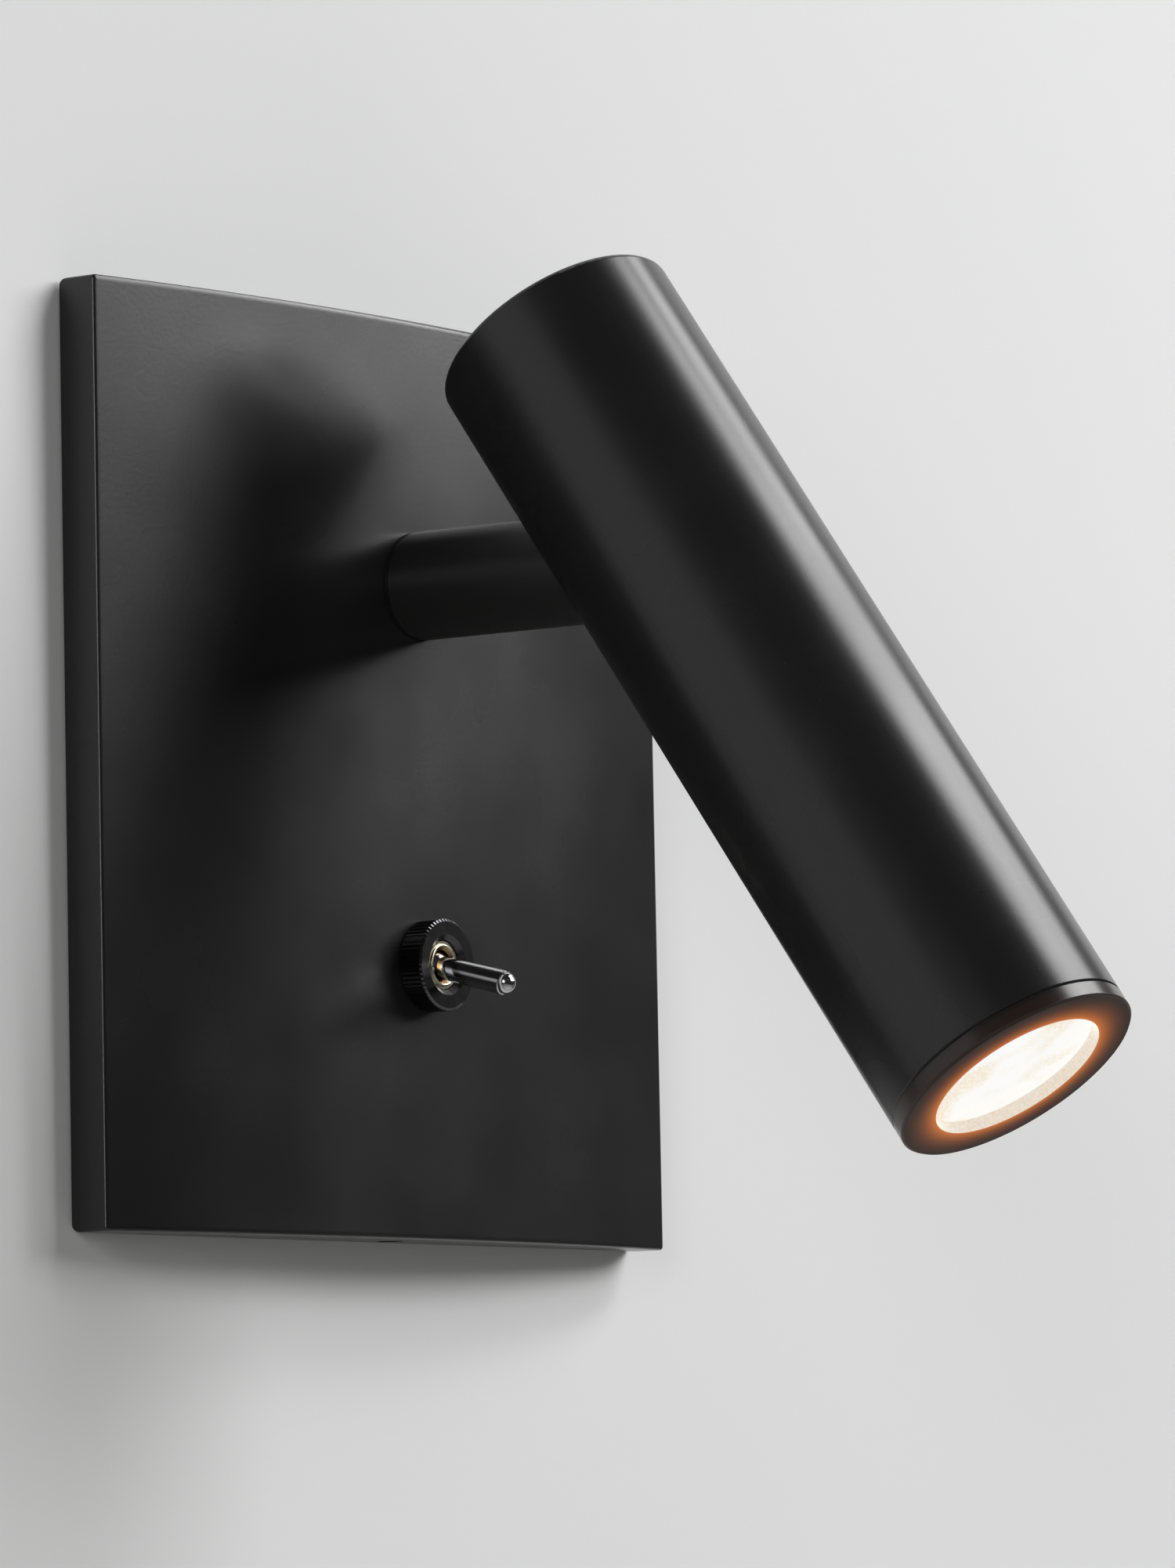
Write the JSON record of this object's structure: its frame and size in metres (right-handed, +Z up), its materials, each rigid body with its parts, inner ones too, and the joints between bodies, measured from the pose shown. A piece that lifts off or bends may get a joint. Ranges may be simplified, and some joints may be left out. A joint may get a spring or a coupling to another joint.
{
  "type": "wall reading lamp",
  "caption": "Wall reading lamp: a thin bowed square wall plate carries a swivelling arm with a tilting cylindrical spotlight head and a toggle switch.",
  "frame": {"origin": "middle of the wall plate's back, on the wall", "axes": "+Z up, +Y into the wall, so the lamp stands out towards -Y; +X to the right of someone facing the wall"},
  "size_m": [0.11, 0.1053, 0.1144],
  "materials": {
    "black_coat": "satin, fine orange peel",
    "black_nut": "black plated, knurled",
    "black_steel": "black oxide",
    "bright_steel": "zinc plated",
    "bushing_nickel": "nickel plated",
    "lever_chrome": "polished",
    "contact_brass": "silver plated",
    "black_nylon": "moulded",
    "white_nylon": "moulded",
    "switch_plastic": "moulded",
    "black_rubber": "moulded",
    "bare_aluminium": "turned",
    "board_white": "white solder mask",
    "led_phosphor": "silicone dome",
    "clear_optic": "clear, polished",
    "holder_plastic": "moulded",
    "lit_lens": "clear, lit from behind",
    "lead_insulation": "extruded"
  },
  "bodies": {
    "base": {"backplate": "black_coat", "wall_bracket": "bright_steel", "cover_nuts": "bright_steel", "cover_screws": "black_steel", "cable_grommet": "black_rubber", "terminal_block": "white_nylon", "terminal_screws": "bright_steel", "swivel_bush": "black_nylon", "inner_washer": "white_nylon", "stop_pin": "bright_steel", "switch_washer": "bright_steel", "switch_frame": "bright_steel", "switch_case": "switch_plastic", "switch_lugs": "contact_brass", "switch_bushing": "bushing_nickel", "ring_nut": "black_nut", "supply_leads": "lead_insulation", "switched_lead": "lead_insulation"},
    "arm": {"arm": "black_coat", "swivel_stem": "bright_steel", "stop_washer": "bright_steel", "spring_washer": "bright_steel", "swivel_nut": "bright_steel", "pivot_bushes": "black_nylon", "arm_leads": "lead_insulation"},
    "head": {"head_tube": "black_coat", "rear_cap": "black_coat", "pivot_block": "bare_aluminium", "pivot_screw": "bright_steel", "pivot_nut": "bright_steel", "friction_washers": "bright_steel", "heat_sink": "bare_aluminium", "core_screw": "bright_steel", "led_board": "board_white", "board_screws": "bright_steel", "led": "led_phosphor", "optic": "clear_optic", "optic_holder": "holder_plastic", "lens_seal": "black_rubber", "front_lens": "lit_lens", "front_ring": "black_coat", "head_leads": "lead_insulation"},
    "toggle": {"toggle_lever": "lever_chrome"},
    "rocker": {"contact_rocker": "contact_brass"}
  },
  "joints": [
    {"name": "arm_swivel", "type": "hinge", "parent": "base", "child": "arm", "pos_m": [0, 0, 0.023], "axis": [0, 1, 0], "range_deg": [-165, 165]},
    {"name": "head_tilt", "type": "hinge", "parent": "arm", "child": "head", "pos_m": [0, -0.05, 0.023], "axis": [1, 0, 0], "range_deg": [-55.5, 34.5]},
    {"name": "lever", "type": "hinge", "parent": "base", "child": "toggle", "pos_m": [0, -0.011, -0.0225], "axis": [1, 0, 0], "range_deg": [-28, 0]},
    {"name": "rocker_tilt", "type": "hinge", "parent": "base", "child": "rocker", "pos_m": [0, -0.0046, -0.0225], "axis": [1, 0, 0], "range_deg": [0, 16]}
  ],
  "couplings": [
    {"joint": "rocker_tilt", "follows": "lever", "ratio": -0.5714}
  ]
}
